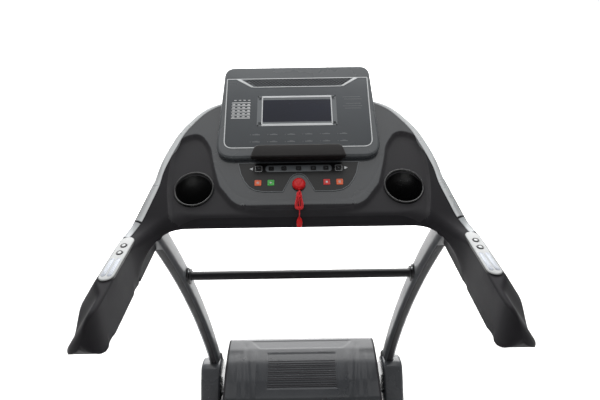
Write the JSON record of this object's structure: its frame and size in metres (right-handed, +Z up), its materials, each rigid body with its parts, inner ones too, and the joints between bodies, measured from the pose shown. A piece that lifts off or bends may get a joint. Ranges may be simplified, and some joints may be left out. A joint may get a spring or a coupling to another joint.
{
  "type": "treadmill",
  "caption": "Folding motor treadmill with curved uprights, crossbar, horseshoe console with display, cup holders, control panel, safety key, and handrails with keypads.",
  "frame": {"origin": "on the floor, at the middle of the bounding box's base", "axes": "+Z up, +Y towards the motor hood, +X to the right of a user who faces the console"},
  "size_m": [0.86, 1.83, 1.399],
  "materials": {
    "frame_steel": "satin powder coat",
    "foot_rubber": "matte",
    "upright_paint": "satin grey paint",
    "black_steel": "satin black paint",
    "boot_plastic": "gunmetal gloss",
    "zinc_steel": "zinc plated",
    "console_plastic": "dark grey gloss",
    "console_base_plastic": "fine texture",
    "display_plastic": "dark grey gloss",
    "display_film": "printed film",
    "lcd_glass": "dark navy screen",
    "circuit_board": "solder mask",
    "ledge_rubber": "soft touch",
    "control_film": "printed film",
    "cup_plastic": "black",
    "handrail_plastic": "charcoal texture",
    "silver_trim": "silver lacquer",
    "keypad_plastic": "silver lacquer",
    "pulse_steel": "polished",
    "wheel_rubber": "matte",
    "key_red_plastic": "red",
    "cord_nylon": "braided nylon",
    "board_laminate": "phenolic film",
    "belt_pvc": "diamond texture",
    "foot_rail_plastic": "ribbed",
    "end_cap_plastic": "fine texture",
    "hood_plastic": "dark grey gloss",
    "motor_steel": "grey paint",
    "roller_steel": "turned",
    "drive_rubber": "ribbed",
    "rod_chrome": "polished",
    "switch_plastic": "red",
    "key_black": "satin",
    "key_orange": "satin",
    "key_green": "satin",
    "key_red": "satin",
    "rail_key_plastic": "gloss"
  },
  "bodies": {
    "base": {"base_rails": "frame_steel", "base_cross_tubes": "frame_steel", "rail_end_feet": "foot_rubber", "upright_left": "upright_paint", "upright_right": "upright_paint", "crossbar": "black_steel", "boots": "boot_plastic", "frame_bolts": "zinc_steel", "console_upper": "console_plastic", "console_lower": "console_base_plastic", "display_housing": "display_plastic", "display_lens": "display_film", "lcd_module": "lcd_glass", "console_board": "circuit_board", "tablet_ledge": "ledge_rubber", "control_overlay": "control_film", "cup_liners": "cup_plastic", "handrails": "handrail_plastic", "side_trims": "silver_trim", "keypad_plates": "keypad_plastic", "pulse_plates": "pulse_steel"},
    "deck": {"deck_rails": "frame_steel", "deck_cross_tubes": "frame_steel", "running_board": "board_laminate", "deck_cushions": "foot_rubber", "running_belt": "belt_pvc", "foot_rails": "foot_rail_plastic", "rear_end_caps": "end_cap_plastic", "motor_hood": "hood_plastic", "drive_motor": "motor_steel", "motor_controller": "circuit_board", "roller_axles": "zinc_steel", "drive_belt": "drive_rubber"},
    "wheel_left": {"wheel_left": "wheel_rubber"},
    "wheel_right": {"wheel_right": "wheel_rubber"},
    "safety_key": {"safety_key": "key_red_plastic", "key_cord": "cord_nylon", "cord_hank": "cord_nylon", "cord_clip": "key_red_plastic"},
    "drive_roller": {"drive_roller": "roller_steel"},
    "rear_roller": {"rear_roller": "roller_steel"},
    "motor_rotor": {"motor_pulley": "roller_steel"},
    "strut_cylinder": {"strut_cylinder": "black_steel"},
    "strut_rod": {"strut_rod": "rod_chrome"},
    "power_switch": {"power_switch": "switch_plastic"},
    "speed_down_key": {"speed_down_key": "key_black"},
    "quick_1_key": {"quick_1_key": "key_black"},
    "quick_2_key": {"quick_2_key": "key_black"},
    "quick_3_key": {"quick_3_key": "key_black"},
    "quick_4_key": {"quick_4_key": "key_black"},
    "quick_5_key": {"quick_5_key": "key_black"},
    "speed_up_key": {"speed_up_key": "key_black"},
    "program_key": {"program_key": "key_orange"},
    "start_key": {"start_key": "key_green"},
    "stop_key": {"stop_key": "key_red"},
    "mode_key": {"mode_key": "key_orange"},
    "rail_key_left_front": {"rail_key_left_front": "rail_key_plastic"},
    "rail_key_left_rear": {"rail_key_left_rear": "rail_key_plastic"},
    "rail_key_right_front": {"rail_key_right_front": "rail_key_plastic"},
    "rail_key_right_rear": {"rail_key_right_rear": "rail_key_plastic"}
  },
  "joints": [
    {"name": "deck_fold", "type": "hinge", "parent": "base", "child": "deck", "pos_m": [0, 0.74, 0.13], "axis": [-1, 0, 0], "range_deg": [0, 60]},
    {"name": "strut_swing", "type": "hinge", "parent": "base", "child": "strut_cylinder", "pos_m": [0, 0.7, 0.082], "axis": [-1, 0, 0], "range_deg": [0, 61.8]},
    {"name": "strut_extend", "type": "slide", "parent": "strut_cylinder", "child": "strut_rod", "axis": [0, -1, 0.0091], "range_m": [0, 0.0628]},
    {"name": "drive_roller_spin", "type": "hinge", "parent": "deck", "child": "drive_roller", "pos_m": [0, 0.64, 0.158], "axis": [1, 0, 0], "continuous": true},
    {"name": "rear_roller_spin", "type": "hinge", "parent": "deck", "child": "rear_roller", "pos_m": [0, -0.85, 0.158], "axis": [1, 0, 0], "continuous": true},
    {"name": "motor_spin", "type": "hinge", "parent": "deck", "child": "motor_rotor", "pos_m": [0.23, 0.802, 0.224], "axis": [1, 0, 0], "continuous": true},
    {"name": "wheel_left_spin", "type": "hinge", "parent": "base", "child": "wheel_left", "pos_m": [-0.386, 0.885, 0.027], "axis": [1, 0, 0], "continuous": true},
    {"name": "wheel_right_spin", "type": "hinge", "parent": "base", "child": "wheel_right", "pos_m": [0.386, 0.885, 0.027], "axis": [1, 0, 0], "continuous": true},
    {"name": "safety_key_pull", "type": "slide", "parent": "base", "child": "safety_key", "axis": [0, -0.6157, 0.788], "range_m": [0, 0.03]},
    {"name": "power_switch_rock", "type": "hinge", "parent": "deck", "child": "power_switch", "pos_m": [-0.22, 0.884, 0.2], "axis": [1, 0, 0], "range_deg": [0, 12]},
    {"name": "speed_down_key_press", "type": "slide", "parent": "base", "child": "speed_down_key", "axis": [0, 0.6157, -0.788], "range_m": [0, 0.0008], "stiffness_N_per_m": 600},
    {"name": "quick_1_key_press", "type": "slide", "parent": "base", "child": "quick_1_key", "axis": [0, 0.6157, -0.788], "range_m": [0, 0.0008], "stiffness_N_per_m": 600},
    {"name": "quick_2_key_press", "type": "slide", "parent": "base", "child": "quick_2_key", "axis": [0, 0.6157, -0.788], "range_m": [0, 0.0008], "stiffness_N_per_m": 600},
    {"name": "quick_3_key_press", "type": "slide", "parent": "base", "child": "quick_3_key", "axis": [0, 0.6157, -0.788], "range_m": [0, 0.0008], "stiffness_N_per_m": 600},
    {"name": "quick_4_key_press", "type": "slide", "parent": "base", "child": "quick_4_key", "axis": [0, 0.6157, -0.788], "range_m": [0, 0.0008], "stiffness_N_per_m": 600},
    {"name": "quick_5_key_press", "type": "slide", "parent": "base", "child": "quick_5_key", "axis": [0, 0.6157, -0.788], "range_m": [0, 0.0008], "stiffness_N_per_m": 600},
    {"name": "speed_up_key_press", "type": "slide", "parent": "base", "child": "speed_up_key", "axis": [0, 0.6157, -0.788], "range_m": [0, 0.0008], "stiffness_N_per_m": 600},
    {"name": "program_key_press", "type": "slide", "parent": "base", "child": "program_key", "axis": [0, 0.6157, -0.788], "range_m": [0, 0.0008], "stiffness_N_per_m": 600},
    {"name": "start_key_press", "type": "slide", "parent": "base", "child": "start_key", "axis": [0, 0.6157, -0.788], "range_m": [0, 0.0008], "stiffness_N_per_m": 600},
    {"name": "stop_key_press", "type": "slide", "parent": "base", "child": "stop_key", "axis": [0, 0.6157, -0.788], "range_m": [0, 0.0008], "stiffness_N_per_m": 600},
    {"name": "mode_key_press", "type": "slide", "parent": "base", "child": "mode_key", "axis": [0, 0.6157, -0.788], "range_m": [0, 0.0008], "stiffness_N_per_m": 600},
    {"name": "rail_key_left_front_press", "type": "slide", "parent": "base", "child": "rail_key_left_front", "axis": [0, 0.1564, -0.9877], "range_m": [0, 0.0008], "stiffness_N_per_m": 500},
    {"name": "rail_key_left_rear_press", "type": "slide", "parent": "base", "child": "rail_key_left_rear", "axis": [0, 0.1564, -0.9877], "range_m": [0, 0.0008], "stiffness_N_per_m": 500},
    {"name": "rail_key_right_front_press", "type": "slide", "parent": "base", "child": "rail_key_right_front", "axis": [0, 0.1564, -0.9877], "range_m": [0, 0.0008], "stiffness_N_per_m": 500},
    {"name": "rail_key_right_rear_press", "type": "slide", "parent": "base", "child": "rail_key_right_rear", "axis": [0, 0.1564, -0.9877], "range_m": [0, 0.0008], "stiffness_N_per_m": 500}
  ],
  "couplings": [
    {"joint": "strut_swing", "follows": "deck_fold", "ratio": 1.0192},
    {"joint": "strut_extend", "follows": "deck_fold", "m_per_rad": 0.058981},
    {"joint": "rear_roller_spin", "follows": "drive_roller_spin", "ratio": 1},
    {"joint": "motor_spin", "follows": "drive_roller_spin", "ratio": 1.8095}
  ]
}
